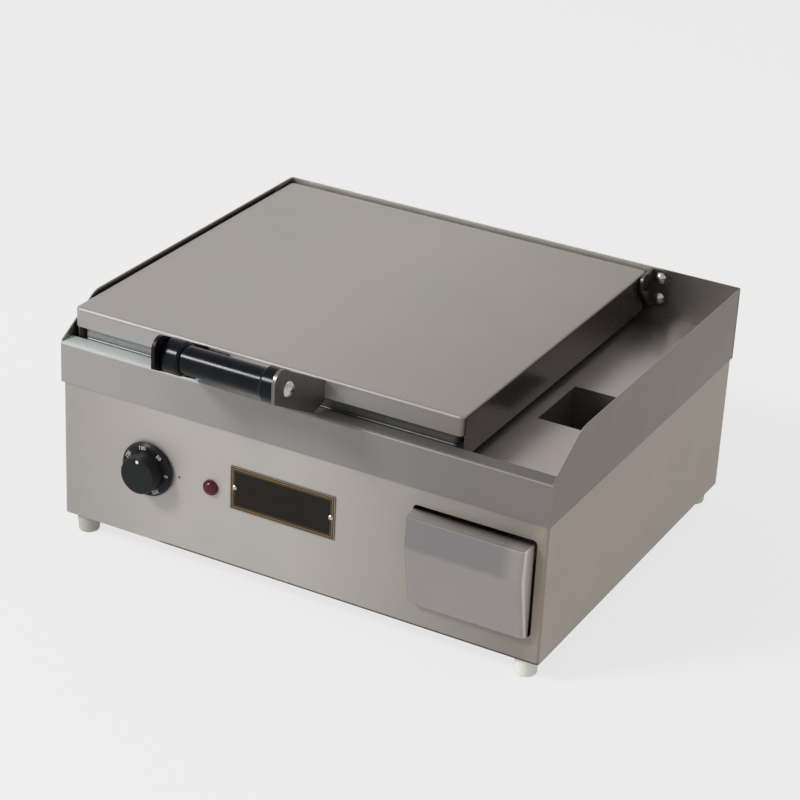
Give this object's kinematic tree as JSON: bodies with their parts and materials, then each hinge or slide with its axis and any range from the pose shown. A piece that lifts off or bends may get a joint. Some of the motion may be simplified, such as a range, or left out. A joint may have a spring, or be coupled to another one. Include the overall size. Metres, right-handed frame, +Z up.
{
  "type": "sandwich maker",
  "caption": "Countertop contact griller with a hinged floating lid, bar handle, splash guard, drain hole and sliding grease drawer.",
  "frame": {"origin": "under the middle of the whole object, on the plane that the feet stand on", "axes": "+Z up, +Y to the back, +X to the right as seen from the front"},
  "size_m": [0.46, 0.4528, 0.2418],
  "materials": {
    "brushed_stainless": "brushed, with a soft satin reflection",
    "polished_stainless": "bright, mirror-like",
    "galvanised_sheet": "plain zinc-coated",
    "plated_steel": "bright zinc or nickel plating",
    "cast_plate": "cast and machined, darkened by use",
    "heater_sheath": "dull, heat-tinted",
    "mineral_board": "fibrous, matte",
    "ceramic": "unglazed",
    "black_bakelite": "moulded, glossy",
    "black_nylon": "moulded, satin",
    "red_lens": "clear moulded, glossy",
    "pale_rubber": "moulded, matte",
    "black_enamel": "stove enamel with a thin gilt border",
    "brass_fitting": "plain turned",
    "copper_tube": "drawn copper",
    "glass_sleeving": "braided heat-resistant sleeving"
  },
  "bodies": {
    "base": {"base_casing": "brushed_stainless", "rear_panel": "brushed_stainless", "bottom_cover": "galvanised_sheet", "casing_screws": "plated_steel", "feet": "pale_rubber", "foot_screws": "plated_steel", "splash_guard": "brushed_stainless", "front_band": "brushed_stainless", "tray_floor": "polished_stainless", "drain_chute": "brushed_stainless", "nameplate": "black_enamel", "nameplate_rivets": "brass_fitting", "lower_plate": "cast_plate", "lower_element": "heater_sheath", "lower_element_clamp": "galvanised_sheet", "lower_insulation": "mineral_board", "heat_shield": "galvanised_sheet", "lower_plate_studs": "plated_steel", "thermostat": "ceramic", "thermostat_screws": "plated_steel", "thermostat_sensor": "copper_tube", "pilot_lamp_body": "black_nylon", "pilot_lamp_lens": "red_lens", "terminal_block": "ceramic", "cable_gland": "black_nylon", "gland_nut": "black_nylon", "earth_stud": "brass_fitting", "internal_wiring": "glass_sleeving", "floor_grommet": "black_nylon", "lid_lead": "glass_sleeving", "drawer_rail_left": "galvanised_sheet", "drawer_rail_right": "galvanised_sheet", "hinge_bracket_right": "polished_stainless", "hinge_plate_left": "polished_stainless", "hinge_screws": "plated_steel", "hinge_nuts": "plated_steel"},
    "drawer": {"drawer_pan": "brushed_stainless", "drawer_front": "brushed_stainless"},
    "knob": {"thermostat_shaft": "plated_steel", "control_knob": "black_bakelite"},
    "hinge_pins": {"hinge_pin_right": "plated_steel", "hinge_pin_left": "plated_steel"},
    "lid": {"lid_cover": "brushed_stainless", "upper_plate": "cast_plate", "upper_element": "heater_sheath", "upper_element_clamp": "galvanised_sheet", "upper_insulation": "mineral_board", "lid_wiring": "glass_sleeving", "hinge_doublers": "plated_steel", "lid_brackets": "galvanised_sheet", "lid_bracket_screws": "plated_steel", "lid_terminal_block": "ceramic", "lid_lead_tail": "glass_sleeving", "handle_arm_left": "polished_stainless", "handle_arm_right": "polished_stainless", "handle_rivets": "plated_steel", "handle_grip": "black_bakelite", "handle_rod": "plated_steel", "handle_screws": "plated_steel"}
  },
  "joints": [
    {"name": "drawer_slide", "type": "slide", "parent": "base", "child": "drawer", "axis": [0, -1, 0], "range_m": [0, 0.2]},
    {"name": "knob_turn", "type": "hinge", "parent": "base", "child": "knob", "pos_m": [-0.1415, -0.1634, 0.0863], "axis": [0, 1, 0], "range_deg": [0, 300]},
    {"name": "pin_float", "type": "slide", "parent": "base", "child": "hinge_pins", "axis": [0, 0, 1], "range_m": [0, 0.0075]},
    {"name": "lid_hinge", "type": "hinge", "parent": "hinge_pins", "child": "lid", "pos_m": [-0.0415, 0.1936, 0.1975], "axis": [-1, 0, 0], "range_deg": [0, 108]}
  ]
}
